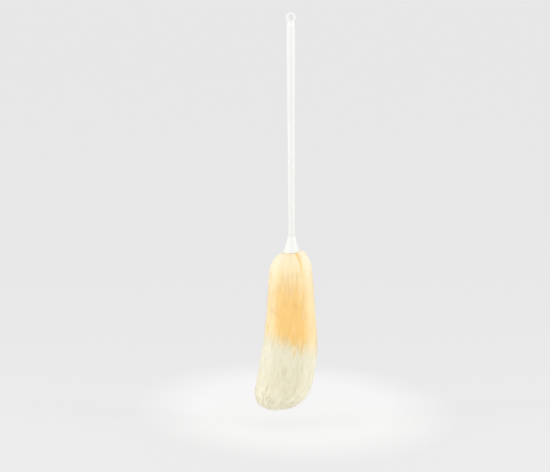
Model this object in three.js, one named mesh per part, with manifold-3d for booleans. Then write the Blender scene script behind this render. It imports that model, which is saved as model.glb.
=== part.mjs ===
// A lambswool duster: a tapered plastic handle with a hanging eye, a flared ferrule, and a head of
// lambskin strips wound round a wooden core. Millimetres, +Z up. The duster hangs by its eye, and the
// origin is the middle of the eye's hole. The front, where the eye shows as a ring, faces -Y.
import * as THREE from 'three';
import { mergeVertices } from 'three/addons/utils/BufferGeometryUtils.js';
import Module from 'manifold-3d';

const wasm = await Module();
wasm.setup();

// Clearances
const FIT_GAP = 0.3; // between pieces that touch each other
const LAP_GAP = 0.8; // between one turn of a strip and the next
const TRIM_HEIGHT = 2; // height of a strip's cut ends
const WELD = 1e-4; // points closer than this are one point
const SEARCH_END = 0.003; // a search along the fleece stops this close

// Hanging eye and end cap
const EYE_HOLE_WIDTH = 8.6;
const EYE_HOLE_HEIGHT = 10.6;
const EYE_SIDE_WALL = 3.5;
const EYE_TOP_WALL = 3.1;
const EYE_THICKNESS = 5.6;
const EYE_EDGE = 1.1; // rounding of the moulded ring
const EYE_EDGE_LIMIT = 0.45; // largest share of a wall that its rounding may take
const EYE_FOOT = 0.5; // from the hole's lower edge to the top of the cap's shoulder
const CAP_SHOULDER_DIAMETER = 12.2;
const CAP_SHOULDER_ROUND = 1.6;
const CAP_HEIGHT = 8.6; // from the top of the shoulder to the joint with the tube
const PLUG_LENGTH = 22;
const PLUG_BARBS = 3;
const BARB_HEIGHT = 0.5;

// Handle tube
const GRIP_DIAMETER = 13.7;
const GRIP_LENGTH = 40; // the straight length under the cap, before the taper
const TAIL_DIAMETER = 10.1;
const TUBE_LENGTH = 370;
const TUBE_WALL = 1.5;
const TUBE_EDGE = 0.4;

// Ferrule
const FERRULE_LENGTH = 27.4;
const FERRULE_RIM_WALL = 0.9; // outside the tube at the upper rim
const FERRULE_BASE_DIAMETER = 27;
const FERRULE_WALL = 1.5;
const FERRULE_LIP = 2.7; // height of the straight lip at the base
const FLARE = [[0, 0], [0.15, 0.35], [0.45, 0.7], [1, 1]]; // the bell's curve on a unit square
const SOCKET_LENGTH = 11.4; // the part of the ferrule that grips the tube

// Wooden core and the pin that holds it in the tube
const CORE_DIAMETER = 9.5;
const CORE_LENGTH = 225.7; // below the shoulder that meets the tube
const CORE_SPIGOT_LENGTH = 60;
const CORE_CHAMFER = 0.8;
const PIN_DIAMETER = 2;
const PIN_INSET = 6.5; // from the end of the tube up to the pin

// Lambskin strips, wound downwards
const STRIP_PITCH = 22;
const HIDE_THICKNESS = 1.2;
const SPLICE_TURNS = 6.1; // turns of dyed strip before the undyed one starts
const SPLICE_GAP = 0.6;

// Fleece
const TIP_OVERHANG = 40; // from the end of the core to the lowest lock
const HEAD_TOP_WIDTH = 71;
const HEAD_WIDTH = 94;
const HEAD_LEAN = 29; // how far the tip hangs to -X of the core
const PILE_SLOPE = 1.05; // fall of the pile for each millimetre it stands out
const LOCK_GROOVE = 3.4; // depth of the parting between two locks
const TURN_GROOVE = 2.6; // depth of the parting between two turns
const SHOULDER_END = 0.12; // shares of the head's length at which its outline changes
const WIDEST_AT = 0.72;
const TIP_START = 0.8;
const LEAN_START = 0.45;

// Tacks
const TACK_HEAD_DIAMETER = 3;
const TACK_HEAD_HEIGHT = 0.8;
const TACK_SETBACK = 0.75; // bare skin on each side of a tack's head
const FERRULE_TACK_TURNS = [0.4, 0.8]; // places along the first turn of the winding
const TIP_TACK_TURNS = [0.25, 0.6]; // places along its last turn
const TACK_SHANK_DIAMETER = 1.3;
const TACK_SHANK_LENGTH = 4.6;
const TACK_POINT = 1.2;
const TIP_TACK_HEAD_DIAMETER = 6;
const TIP_TACK_SHANK_LENGTH = 14;

// Fineness of the round faces
const ROUND_SIDES = 40;
const SMALL_SIDES = 12;
const STEPS_PER_TURN = 37; // with 3 steps to a lock, each turn's locks lie beside the last turn's
const STEPS_PER_LOCK = 3;
const HIDE_STEPS_PER_TURN = 20;
const CURVE_STEPS = 8;
const DOME_STEPS = 3;
const EYE_CURVE_STEPS = 14;
const TUFT_RINGS = [0, 0.35, 0.65, 0.88]; // shares of the tuft's radius

// Places in the head, from the ferrule's base. The bare top margin of the skin is tucked inside the bell.
const HIDE_MARGIN = TACK_HEAD_DIAMETER + 2 * TACK_SETBACK;
const PILE_TOP_Z = -2 * FIT_GAP;
const HIDE_TOP_Z = PILE_TOP_Z + HIDE_MARGIN;
const CORE_SHOULDER_Z = HIDE_TOP_Z + FIT_GAP;
const TUBE_END_Z = CORE_SHOULDER_Z + FIT_GAP;
const PIN_Z = TUBE_END_Z + PIN_INSET;
const CORE_END_Z = CORE_SHOULDER_Z - CORE_LENGTH;
const PILE_END_Z = CORE_END_Z + HIDE_MARGIN;
const HEAD_LENGTH = TIP_OVERHANG - CORE_END_Z;
const WINDING_TURNS = (HIDE_TOP_Z - CORE_END_Z) / STRIP_PITCH;
const HIDE_INNER = CORE_DIAMETER / 2 + FIT_GAP;
const HIDE_OUTER = HIDE_INNER + HIDE_THICKNESS;
const PILE_INNER = HIDE_OUTER + FIT_GAP;
const PILE_BEND = FERRULE_BASE_DIAMETER / 2 + FIT_GAP; // the pile stands level out to here, then falls
const TIP_DISC_Z = CORE_END_Z - FIT_GAP;
const TUFT_POCKET = HIDE_OUTER + FIT_GAP + TACK_HEAD_HEIGHT + FIT_GAP;

// Places along the duster, from the middle of the eye's hole
const CAP_TOP_Z = -(EYE_HOLE_HEIGHT / 2 + EYE_FOOT);
const CAP_JOINT_Z = CAP_TOP_Z - CAP_HEIGHT;
const TUBE_TOP_Z = CAP_JOINT_Z - FIT_GAP;
const FERRULE_BASE_Z = TUBE_TOP_Z - TUBE_LENGTH - TUBE_END_Z;

const plastic = new THREE.MeshStandardMaterial({ color: 0xf6f5f0, roughness: 0.35, metalness: 0 });
const wood = new THREE.MeshStandardMaterial({ color: 0xd9b98a, roughness: 0.7, metalness: 0 });
const skin = new THREE.MeshStandardMaterial({ color: 0xe9dcc4, roughness: 0.85, metalness: 0 });
const steel = new THREE.MeshStandardMaterial({ color: 0xb4b6b8, roughness: 0.35, metalness: 1 });
const dyedWool = new THREE.MeshStandardMaterial({ color: 0xfbce82, roughness: 0.95, metalness: 0 });
const naturalWool = new THREE.MeshStandardMaterial({ color: 0xece6cb, roughness: 0.95, metalness: 0 });

// Geometry helpers

function bare(geometry) {
  const copy = geometry.clone();
  copy.deleteAttribute('normal');
  copy.deleteAttribute('uv');
  return mergeVertices(copy, WELD);
}

function solid(geometry) {
  const merged = bare(geometry);
  return new wasm.Manifold(new wasm.Mesh({
    numProp: 3,
    vertProperties: new Float32Array(merged.attributes.position.array),
    triVerts: new Uint32Array(merged.index.array),
  }));
}

function geometryOf(manifold) {
  const mesh = manifold.getMesh();
  const geometry = new THREE.BufferGeometry();
  geometry.setAttribute('position', new THREE.BufferAttribute(mesh.vertProperties, 3));
  geometry.setIndex(new THREE.BufferAttribute(mesh.triVerts, 1));
  geometry.computeVertexNormals();
  return geometry;
}

function cut(geometry, tools) {
  return geometryOf(tools.reduce((rest, tool) => rest.subtract(solid(tool)), solid(geometry)));
}

// A solid of revolution about Z. The profile holds [radius, height] pairs that run up its outside.
function revolve(profile, sides) {
  const points = profile.map(([radius, height]) => new THREE.Vector2(radius, height));
  return new THREE.LatheGeometry(points, sides).rotateX(Math.PI / 2);
}

// Points of a cubic curve whose shape is given on a unit square, laid between two corners.
function swoop(start, end, shape) {
  const place = ([u, v]) => new THREE.Vector2(
    THREE.MathUtils.lerp(start[0], end[0], u),
    THREE.MathUtils.lerp(start[1], end[1], v),
  );
  const curve = new THREE.CubicBezierCurve(...shape.map(place));
  return curve.getPoints(CURVE_STEPS).map((point) => [point.x, point.y]);
}

// A solid through polygons that turn about Z. Each section is an angle and its [radius, height] pairs,
// anticlockwise with the radius to the right. A loft either closes on itself or has two flat ends.
function loftAboutZ(sections, closes) {
  const count = sections[0].outline.length;
  const positions = [];
  for (const { angle, outline } of sections) {
    for (const [radius, height] of outline) {
      positions.push(radius * Math.cos(angle), radius * Math.sin(angle), height);
    }
  }
  const triangles = [];
  const spans = closes ? sections.length : sections.length - 1;
  for (let span = 0; span < spans; span++) {
    const here = span * count;
    const ahead = ((span + 1) % sections.length) * count;
    for (let corner = 0; corner < count; corner++) {
      const next = (corner + 1) % count;
      triangles.push(here + corner, ahead + corner, ahead + next);
      triangles.push(here + corner, ahead + next, here + next);
    }
  }
  if (!closes) {
    const last = (sections.length - 1) * count;
    for (const [a, b, c] of endFaces(sections[0].outline)) {
      triangles.push(a, b, c);
    }
    for (const [a, b, c] of endFaces(sections[sections.length - 1].outline)) {
      triangles.push(last + c, last + b, last + a);
    }
  }
  const geometry = new THREE.BufferGeometry();
  geometry.setAttribute('position', new THREE.Float32BufferAttribute(positions, 3));
  geometry.setIndex(triangles);
  return withoutFlatTriangles(geometry);
}

function endFaces(outline) {
  return THREE.ShapeUtils.triangulateShape(outline.map(([r, z]) => new THREE.Vector2(r, z)), []);
}

// Merges the points that meet on the axis and drops the triangles that close up there.
function withoutFlatTriangles(geometry) {
  const merged = mergeVertices(geometry, WELD);
  const kept = [];
  const index = merged.index.array;
  for (let i = 0; i < index.length; i += 3) {
    const [a, b, c] = index.slice(i, i + 3);
    if (a !== b && b !== c && c !== a) {
      kept.push(a, b, c);
    }
  }
  merged.setIndex(kept);
  merged.computeVertexNormals();
  return merged;
}

// Hanging eye and end cap: one moulding, an oval ring on a shouldered cap with a barbed plug

function plugRadius() {
  return tubeRadius(PLUG_LENGTH) - TUBE_WALL - FIT_GAP;
}

function hangingEyeCap() {
  const halfWidth = EYE_HOLE_WIDTH / 2;
  const halfHeight = EYE_HOLE_HEIGHT / 2;
  const ring = new THREE.Shape();
  ring.absellipse(0, 0, halfWidth + EYE_SIDE_WALL, halfHeight + EYE_TOP_WALL, 0, 2 * Math.PI);
  const hole = new THREE.Path();
  hole.absellipse(0, 0, halfWidth, halfHeight, 0, 2 * Math.PI);
  ring.holes.push(hole);
  const edge = Math.min(EYE_EDGE, EYE_EDGE_LIMIT * Math.min(EYE_SIDE_WALL, EYE_TOP_WALL, EYE_THICKNESS));
  const eye = new THREE.ExtrudeGeometry(ring, {
    depth: EYE_THICKNESS - 2 * edge,
    bevelThickness: edge,
    bevelSize: edge,
    bevelOffset: -edge,
    bevelSegments: DOME_STEPS,
    curveSegments: EYE_CURVE_STEPS,
  });
  eye.translate(0, 0, edge - EYE_THICKNESS / 2).rotateX(Math.PI / 2);

  const crest = plugRadius();
  const root = crest - BARB_HEIGHT;
  const bottom = CAP_JOINT_Z - PLUG_LENGTH;
  const pitch = PLUG_LENGTH / (PLUG_BARBS + 1);
  const barbs = [];
  for (let barb = 0; barb < PLUG_BARBS; barb++) {
    const foot = bottom + (barb + 0.5) * pitch;
    barbs.push([root, foot], [crest, foot + pitch / 2], [root, foot + pitch / 2 + BARB_HEIGHT]);
  }
  const shoulder = CAP_SHOULDER_DIAMETER / 2;
  const round = new THREE.EllipseCurve(
    shoulder - CAP_SHOULDER_ROUND, CAP_TOP_Z - CAP_SHOULDER_ROUND,
    CAP_SHOULDER_ROUND, CAP_SHOULDER_ROUND, 0, Math.PI / 2,
  );
  const cap = revolve([
    [0, bottom], [root, bottom], ...barbs, [root, CAP_JOINT_Z],
    [GRIP_DIAMETER / 2, CAP_JOINT_Z],
    ...round.getPoints(CURVE_STEPS / 2).map((point) => [point.x, point.y]),
    [0, CAP_TOP_Z],
  ], ROUND_SIDES);
  return geometryOf(solid(eye).add(solid(cap)));
}

// Handle tube: straight under the cap, then tapering to its tail

function tubeRadius(depth) {
  const taper = THREE.MathUtils.clamp((depth - GRIP_LENGTH) / (TUBE_LENGTH - GRIP_LENGTH), 0, 1);
  return THREE.MathUtils.lerp(GRIP_DIAMETER, TAIL_DIAMETER, taper) / 2;
}

function pinHole() {
  const radius = PIN_DIAMETER / 2 + FIT_GAP;
  return new THREE.CylinderGeometry(radius, radius, 2 * GRIP_DIAMETER, SMALL_SIDES);
}

function handleTube() {
  const grip = GRIP_DIAMETER / 2;
  const tail = TAIL_DIAMETER / 2;
  const tube = revolve([
    [tail - TUBE_WALL, -TUBE_LENGTH],
    [tail - TUBE_EDGE, -TUBE_LENGTH],
    [tail, -TUBE_LENGTH + TUBE_EDGE],
    [grip, -GRIP_LENGTH],
    [grip, -TUBE_EDGE],
    [grip - TUBE_EDGE, 0],
    [grip - TUBE_WALL, 0],
    [grip - TUBE_WALL, -GRIP_LENGTH],
    [tail - TUBE_WALL, -TUBE_LENGTH],
  ], ROUND_SIDES);
  return cut(tube, [pinHole().translate(0, 0, PIN_INSET - TUBE_LENGTH)]);
}

// Ferrule: a socket on the tube's tail that flares into a bell over the top of the wool

function ferrule() {
  const base = FERRULE_BASE_DIAMETER / 2;
  const socketEnd = FERRULE_LENGTH - SOCKET_LENGTH;
  const rimDepth = TUBE_LENGTH - (FERRULE_LENGTH - TUBE_END_Z);
  const mouth = tubeRadius(rimDepth) + FIT_GAP;
  const rim = mouth + FERRULE_RIM_WALL;
  const throat = tubeRadius(rimDepth + SOCKET_LENGTH) + FIT_GAP;
  const outside = swoop([rim, FERRULE_LENGTH], [base, FERRULE_LIP], FLARE).reverse();
  const inside = swoop([throat, socketEnd], [base - FERRULE_WALL, FERRULE_LIP], FLARE);
  return revolve([
    [base - FERRULE_WALL, 0],
    [base, 0],
    ...outside,
    [mouth, FERRULE_LENGTH],
    ...inside,
    [base - FERRULE_WALL, 0],
  ], ROUND_SIDES);
}

// Wooden core: a spigot in the tube, a shoulder, and the length that carries the strips

function coreDowel() {
  const spigot = TAIL_DIAMETER / 2 - TUBE_WALL - FIT_GAP;
  const body = CORE_DIAMETER / 2;
  const dowel = revolve([
    [0, CORE_END_Z],
    [body - CORE_CHAMFER, CORE_END_Z],
    [body, CORE_END_Z + CORE_CHAMFER],
    [body, CORE_SHOULDER_Z],
    [spigot, CORE_SHOULDER_Z],
    [spigot, CORE_SHOULDER_Z + CORE_SPIGOT_LENGTH - CORE_CHAMFER],
    [spigot - CORE_CHAMFER, CORE_SHOULDER_Z + CORE_SPIGOT_LENGTH],
    [0, CORE_SHOULDER_Z + CORE_SPIGOT_LENGTH],
  ], ROUND_SIDES);
  const tipHole = tack(TIP_TACK_HEAD_DIAMETER, TIP_TACK_SHANK_LENGTH, FIT_GAP);
  tipHole.rotateX(Math.PI / 2).translate(0, 0, TIP_DISC_Z - HIDE_THICKNESS - FIT_GAP);
  return cut(dowel, [
    pinHole().translate(0, 0, PIN_Z),
    ...STRIP_TACKS.map((place) => tackAt(place, FIT_GAP)),
    tipHole,
  ]);
}

function handlePin() {
  const length = 2 * tubeRadius(TUBE_LENGTH - PIN_INSET);
  return new THREE.CylinderGeometry(PIN_DIAMETER / 2, PIN_DIAMETER / 2, length, SMALL_SIDES);
}

// Tacks: a flat head that faces -Y and a pointed shank driven towards +Y. A margin makes the hole for one.

function tack(headDiameter, shankLength, margin) {
  const head = headDiameter / 2;
  const shank = TACK_SHANK_DIAMETER / 2 + margin;
  const dome = new THREE.EllipseCurve(0, 0, head, TACK_HEAD_HEIGHT, 0, Math.PI / 2);
  const profile = [
    [0, -shankLength - margin],
    [shank, -shankLength - margin + TACK_POINT],
    [shank, 0],
    ...dome.getPoints(DOME_STEPS).map((point) => [point.x, point.y]),
  ];
  return revolve(profile, SMALL_SIDES).rotateX(Math.PI / 2);
}

// Tacks go through the bare margins of the winding, under the ferrule and at the tip.
const STRIP_TACKS = [
  ...FERRULE_TACK_TURNS.map((turns, i) => ({
    name: `ferrule_end_tack_${i + 1}`,
    turns,
    height: HIDE_TOP_Z - HIDE_MARGIN / 2,
  })),
  ...TIP_TACK_TURNS.map((turns, i) => ({
    name: `tip_end_tack_${i + 1}`,
    turns: WINDING_TURNS + turns,
    height: CORE_END_Z + HIDE_MARGIN / 2,
  })),
];

function tackAt(place, margin) {
  const seat = HIDE_OUTER + FIT_GAP;
  const geometry = tack(TACK_HEAD_DIAMETER, TACK_SHANK_LENGTH, margin);
  return geometry
    .translate(0, -seat, 0)
    .rotateZ(place.turns * 2 * Math.PI + Math.PI / 2)
    .translate(0, 0, place.height);
}

// The winding: the level of a strip's two edges at a number of turns, trimmed flat at both ends

function stripEdges(turns, topLimit, endLimit) {
  const upper = HIDE_TOP_Z + STRIP_PITCH * (1 - turns);
  const lower = upper - STRIP_PITCH + LAP_GAP;
  return [Math.min(upper, topLimit), Math.max(lower, endLimit)];
}

// The steps of a strip between two numbers of turns, where it is at least as high as its cut ends
function windingSteps(from, to, stepsPerTurn, topLimit, endLimit) {
  const steps = [];
  const first = Math.ceil(from * stepsPerTurn);
  const last = Math.floor(to * stepsPerTurn);
  for (let step = first; step <= last; step++) {
    const turns = step / stepsPerTurn;
    const [upper, lower] = stripEdges(turns, topLimit, endLimit);
    if (upper - lower >= TRIM_HEIGHT) {
      steps.push({ step, angle: turns * 2 * Math.PI, upper, lower });
    }
  }
  return steps;
}

function hideStrip(from, to) {
  const sections = windingSteps(from, to, HIDE_STEPS_PER_TURN, HIDE_TOP_Z, CORE_END_Z)
    .map(({ angle, upper, lower }) => ({
      angle,
      outline: [[HIDE_INNER, lower], [HIDE_OUTER, lower], [HIDE_OUTER, upper], [HIDE_INNER, upper]],
    }));
  return cut(loftAboutZ(sections, false), STRIP_TACKS.map((place) => tackAt(place, FIT_GAP)));
}

// Fleece outline: the half width and the sideways lean of the head at a depth below the ferrule

function headHalfWidth(depth) {
  const share = THREE.MathUtils.clamp(depth / HEAD_LENGTH, 0, 1);
  const spread = THREE.MathUtils.clamp((share - SHOULDER_END) / (WIDEST_AT - SHOULDER_END), 0, 1);
  const side = THREE.MathUtils.lerp(HEAD_TOP_WIDTH, HEAD_WIDTH, spread) / 2;
  const rise = 1 - Math.min(share / SHOULDER_END, 1);
  const shoulder = THREE.MathUtils.lerp(PILE_BEND, side, Math.sqrt(1 - rise * rise));
  const fall = Math.max(0, (share - TIP_START) / (1 - TIP_START));
  return shoulder * Math.sqrt(1 - fall * fall);
}

function headLean(depth) {
  const share = THREE.MathUtils.clamp((depth / HEAD_LENGTH - LEAN_START) / (1 - LEAN_START), 0, 1);
  return -HEAD_LEAN * share * share;
}

// Distance from the core's axis to the fleece's surface, in a direction and at a depth
function fleeceRadius(angle, depth) {
  const half = headHalfWidth(depth);
  const along = headLean(depth) * Math.cos(angle);
  const across = headLean(depth) * Math.sin(angle);
  return along + Math.sqrt(Math.max(0, half * half - across * across));
}

// How far the pile has fallen at a distance from the axis
function pileFall(radius) {
  return Math.max(0, radius - PILE_BEND) * PILE_SLOPE;
}

// Where a layer of pile that leaves the skin at a level comes out of the fleece
function layerReach(angle, level) {
  let near = PILE_BEND;
  let far = HEAD_WIDTH + HEAD_LEAN;
  while (far - near > SEARCH_END) {
    const middle = (near + far) / 2;
    if (middle < fleeceRadius(angle, pileFall(middle) - level)) {
      near = middle;
    } else {
      far = middle;
    }
  }
  return near;
}

// A lock is proud of the parting on each side of it.
function lockDepth(step) {
  return step % STEPS_PER_LOCK === 0 ? LOCK_GROOVE : 0;
}

function woolPile(from, to) {
  const steps = windingSteps(from, to, STEPS_PER_TURN, PILE_TOP_Z, PILE_END_Z);
  const sections = steps.map(({ step, angle, upper, lower }) => {
    const groove = lockDepth(step);
    const high = Math.max(PILE_BEND, layerReach(angle, upper) - groove - TURN_GROOVE);
    const low = Math.max(PILE_BEND, layerReach(angle, lower) - groove - TURN_GROOVE);
    const middle = (upper + lower) / 2;
    const proud = Math.max(PILE_BEND, layerReach(angle, middle) - groove);
    return {
      angle,
      outline: [
        [PILE_INNER, lower],
        [PILE_BEND, lower],
        [low + FIT_GAP, lower - pileFall(low + FIT_GAP)],
        [proud + 2 * FIT_GAP, middle - pileFall(proud + 2 * FIT_GAP)],
        [high + FIT_GAP, upper - pileFall(high + FIT_GAP)],
        [PILE_BEND, upper],
        [PILE_INNER, upper],
      ],
    };
  });
  return loftAboutZ(sections, false);
}

// Tuft at the tip: it fills the hollow under the last turn down to the lowest lock

function fleeceBottom(angle, radius, level) {
  let inside = level;
  let outside = -HEAD_LENGTH;
  while (inside - outside > SEARCH_END) {
    const middle = (inside + outside) / 2;
    const x = radius * Math.cos(angle) - headLean(-middle);
    const y = radius * Math.sin(angle);
    if (Math.hypot(x, y) <= headHalfWidth(-middle)) {
      inside = middle;
    } else {
      outside = middle;
    }
  }
  return inside;
}

function tipTuft() {
  const roof = PILE_END_Z - LAP_GAP;
  const pocket = TIP_DISC_Z - HIDE_THICKNESS - TACK_HEAD_HEIGHT - 2 * FIT_GAP;
  const sections = [];
  for (let step = 0; step < STEPS_PER_TURN; step++) {
    const angle = step / STEPS_PER_TURN * 2 * Math.PI;
    const reach = layerReach(angle, roof) - TURN_GROOVE;
    const edge = roof - pileFall(reach);
    const sole = TUFT_RINGS.map((share) => {
      const bottom = fleeceBottom(angle, share * reach, pocket);
      return [share * reach, bottom + share * lockDepth(step)];
    });
    sections.push({
      angle,
      outline: [
        ...sole,
        [reach, edge],
        [PILE_BEND, roof],
        [TUFT_POCKET, roof],
        [TUFT_POCKET, pocket],
        [0, pocket],
      ],
    });
  }
  return loftAboutZ(sections, true);
}

function tipDisc() {
  const disc = revolve([
    [0, -HIDE_THICKNESS], [HIDE_OUTER, -HIDE_THICKNESS], [HIDE_OUTER, 0], [0, 0],
  ], ROUND_SIDES);
  const radius = TACK_SHANK_DIAMETER / 2 + FIT_GAP;
  const hole = new THREE.CylinderGeometry(radius, radius, 4 * HIDE_THICKNESS, SMALL_SIDES);
  return cut(disc, [hole.rotateX(Math.PI / 2)]);
}

// Assembly

function piece(name, geometry, material, z = 0) {
  const mesh = new THREE.Mesh(geometry, material);
  mesh.name = name;
  mesh.position.z = z;
  return mesh;
}

const handle = new THREE.Group();
handle.add(piece('hanging_eye_cap', hangingEyeCap(), plastic));
handle.add(piece('handle_tube', handleTube(), plastic, TUBE_TOP_Z));

const head = new THREE.Group();
head.position.z = FERRULE_BASE_Z;
head.add(piece('ferrule', ferrule(), plastic));
head.add(piece('core_dowel', coreDowel(), wood));
head.add(piece('handle_pin', handlePin(), steel, PIN_Z));

const lastTurn = WINDING_TURNS + 1;
const spliceEnd = SPLICE_TURNS + SPLICE_GAP / STRIP_PITCH;
head.add(piece('dyed_hide_strip', hideStrip(0, SPLICE_TURNS), skin));
head.add(piece('dyed_wool_pile', woolPile(0, SPLICE_TURNS), dyedWool));
head.add(piece('natural_hide_strip', hideStrip(spliceEnd, lastTurn), skin));
head.add(piece('natural_wool_pile', woolPile(spliceEnd, lastTurn), naturalWool));
for (const place of STRIP_TACKS) {
  head.add(piece(place.name, tackAt(place, 0), steel));
}

const tip = new THREE.Group();
tip.position.z = TIP_DISC_Z;
tip.add(piece('tip_hide_disc', tipDisc(), skin));
const tipTack = piece('tip_tack', tack(TIP_TACK_HEAD_DIAMETER, TIP_TACK_SHANK_LENGTH, 0), steel);
tipTack.rotation.x = Math.PI / 2;
tipTack.position.z = -HIDE_THICKNESS - FIT_GAP;
tip.add(tipTack);
head.add(tip);
head.add(piece('tip_wool_tuft', tipTuft(), naturalWool));

const duster = new THREE.Group();
duster.name = 'lambswool_duster';
duster.add(handle, head);

export default duster;
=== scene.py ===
"""Looks of a lambswool duster: white plastic mouldings and a head of dyed and natural wool.

Metres, +Z up. The origin is the middle of the hanging eye's hole, and the front faces -Y.
"""
import math

import bmesh
import bpy
import numpy as np
from mathutils import Euler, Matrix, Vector
from mathutils.geometry import interpolate_bezier


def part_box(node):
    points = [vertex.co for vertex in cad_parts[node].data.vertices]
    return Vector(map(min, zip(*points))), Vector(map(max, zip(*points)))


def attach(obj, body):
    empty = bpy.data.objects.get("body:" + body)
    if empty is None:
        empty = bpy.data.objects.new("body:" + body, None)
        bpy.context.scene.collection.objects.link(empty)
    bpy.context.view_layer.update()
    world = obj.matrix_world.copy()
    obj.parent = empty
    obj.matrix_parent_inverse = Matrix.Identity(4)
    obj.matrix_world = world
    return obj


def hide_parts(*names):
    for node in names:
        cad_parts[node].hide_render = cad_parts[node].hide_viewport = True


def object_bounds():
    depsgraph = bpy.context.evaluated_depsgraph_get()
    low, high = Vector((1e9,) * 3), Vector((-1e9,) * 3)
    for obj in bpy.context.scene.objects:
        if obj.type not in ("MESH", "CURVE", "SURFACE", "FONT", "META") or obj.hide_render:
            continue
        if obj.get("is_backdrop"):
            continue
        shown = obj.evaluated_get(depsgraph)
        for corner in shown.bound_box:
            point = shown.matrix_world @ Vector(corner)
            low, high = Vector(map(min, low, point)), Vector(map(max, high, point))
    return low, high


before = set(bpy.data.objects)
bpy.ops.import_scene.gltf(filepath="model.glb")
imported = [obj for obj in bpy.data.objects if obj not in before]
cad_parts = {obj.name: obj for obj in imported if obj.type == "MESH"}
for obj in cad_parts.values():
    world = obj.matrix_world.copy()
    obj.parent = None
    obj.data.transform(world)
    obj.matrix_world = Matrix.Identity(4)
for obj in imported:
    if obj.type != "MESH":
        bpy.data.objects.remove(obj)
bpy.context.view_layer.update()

MM = 0.001
FIT_GAP = 0.3 * MM

# Places taken from the solids
EYE_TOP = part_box("hanging_eye_cap")[1].z
PLUG_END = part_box("hanging_eye_cap")[0].z
TUBE_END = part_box("handle_tube")[0].z
TUBE_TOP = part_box("handle_tube")[1].z
GRIP_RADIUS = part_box("handle_tube")[1].x
FERRULE_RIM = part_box("ferrule")[1].z
FERRULE_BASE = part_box("ferrule")[0].z
FERRULE_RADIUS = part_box("ferrule")[1].x
CORE_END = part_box("core_dowel")[0].z

# Hanging eye and cap
EYE_HOLE_WIDTH = 7.8 * MM
EYE_HOLE_TOP = 5.3 * MM  # up from the hole's middle
EYE_HOLE_FOOT = 4.2 * MM  # down from the hole's middle
EYE_SIDE_WALL = 3.9 * MM
EYE_THICKNESS = 5.6 * MM
EYE_EDGE = 1.1 * MM
CAP_TOP = -5.8 * MM
CAP_SEAT = 0.3 * MM  # overlap of the cap's rim and the tube's end
CAP_SHOULDER_RADIUS = 6.1 * MM
CAP_SHOULDER_ROUND = 1.6 * MM
CAP_SHOULDER_STEPS = 6
PLUG_RADIUS = 5.05 * MM
BARB_HEIGHT = 0.5 * MM
BARBS = 3
MOULDING_VOXEL = 0.22 * MM
MOULDING_SMOOTHING = 6

# Handle tube and ferrule
GRIP_LENGTH = 40 * MM
TAIL_RADIUS = 5.05 * MM
TUBE_WALL = 1.5 * MM
FERRULE_WALL = 1.5 * MM
FERRULE_RIM_WALL = 0.9 * MM
FERRULE_LIP = 2.7 * MM
SOCKET_LENGTH = 11.4 * MM
FLARE = ((0.15, 0.35), (0.45, 0.7))
FLARE_POINTS = 14
TURNED_SIDES = 96
MERGE_DISTANCE = 0.001 * MM
EDGE_ROUND = 0.3 * MM
EDGE_STEPS = 3
TUBE_EDGE_ROUND = 0.12 * MM
EDGE_ANGLE = math.radians(35)

# Whites of the mouldings: the deepest, the lightest, and how much less blue they hold
CAP_WHITE = (237, 242, 1)
HANDLE_WHITE = (233, 238, 4)
# The ferrule is whiter than the handle: partly a whiter moulding, partly painted light on its flare,
# which faces up
FERRULE_WHITE = (238, 242, 4)
TONE_STOPS = (0.3, 0.7)

# Colours of the wool, undyed and dyed, and the shade that lies over them: random tone together with
# painted shade and light
NATURAL_COLOUR = (250, 247, 230)
HALF_DYED_COLOUR = (249, 228, 182)
DYED_COLOUR = (246, 204, 128)
SHADE_COLOUR = (224, 220, 203)
SHEEN_COLOUR = (255, 240, 208)
HALF_DYED = 0.5

# Outline of the wool head, which changes at shares of its length
TIP_OVERHANG = 41.5 * MM
HEAD_LENGTH = FERRULE_BASE - CORE_END + TIP_OVERHANG
HEAD_TOP_WIDTH = 69.5 * MM
HEAD_WIDTH = 93.5 * MM
HEAD_LEAN = 24.5 * MM
HEAD_SHIFT = 1.8 * MM
SHOULDER_END = 0.12
WIDEST_AT = 0.68
TIP_START = 0.8
TIP_FULLNESS = 3.2
LEAN_START = 0.4
LEAN_BEND = 2.2
PATH_POINTS = 1500
COLLAR_RADIUS = 10.5 * MM
COLLAR_DEPTH = 0.2 * MM
PUFF = -0.5 * MM
SIDE_PUFF = 4.6 * MM
PUFF_ANGLE = math.radians(-15)
PUFF_START = 14.5 * MM
PUFF_END = 38 * MM

# Dye and shade of the wool, by depth below the ferrule, with painted light and shade drawn into them
# Painted light from above: the dye is drawn paler on the head's top under the ferrule, and reaches
# its full depth further down
TOP_LIT_DYE = 0.38
TOP_LIGHT_END = 92 * MM
SPLICE_DEPTH = 151 * MM
SPLICE_SLANT = 13 * MM
SPLICE_BLUR = 19 * MM
SPLICE_SCATTER = 4 * MM
LOCK_DYE = 0.05
STRAND_DYE = 0.1
STRAND_SCATTER = 7 * MM
# deeper dye along the edges of each lock: partly less bleached inner wool, partly painted shade in
# the partings
EDGE_DYE_AND_SHADE = 0.08
DYED_SHADE = 1
# natural wool's shade: partly its own duller tone, partly painted shade on the lower head
NATURAL_SHADE = 0.35
# Painted side light: the wool is drawn paler and lighter on the head's sides than on its front and
# back
UNLIGHTENED_SIDES = 2  # front and back, where no side light is painted
FRONT_ANGLE = math.radians(-102)
SIDE_LIGHT_RANGE = (0.1, 0.7)  # shares of the way from the front or back to a side, over which the painted side light comes in
# random turn of the painted side light from lock to lock
SIDE_LIGHT_SCATTER = math.radians(3)
# painted side light: how much paler the dye is drawn on the sides
DYE_SIDE_LIGHT = 0.42
# painted side light: how much lighter the natural wool is drawn on the sides
NATURAL_SIDE_LIGHT = 0.27
SHADE_REACH = 10 * MM  # how far above the splice the shade starts
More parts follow.
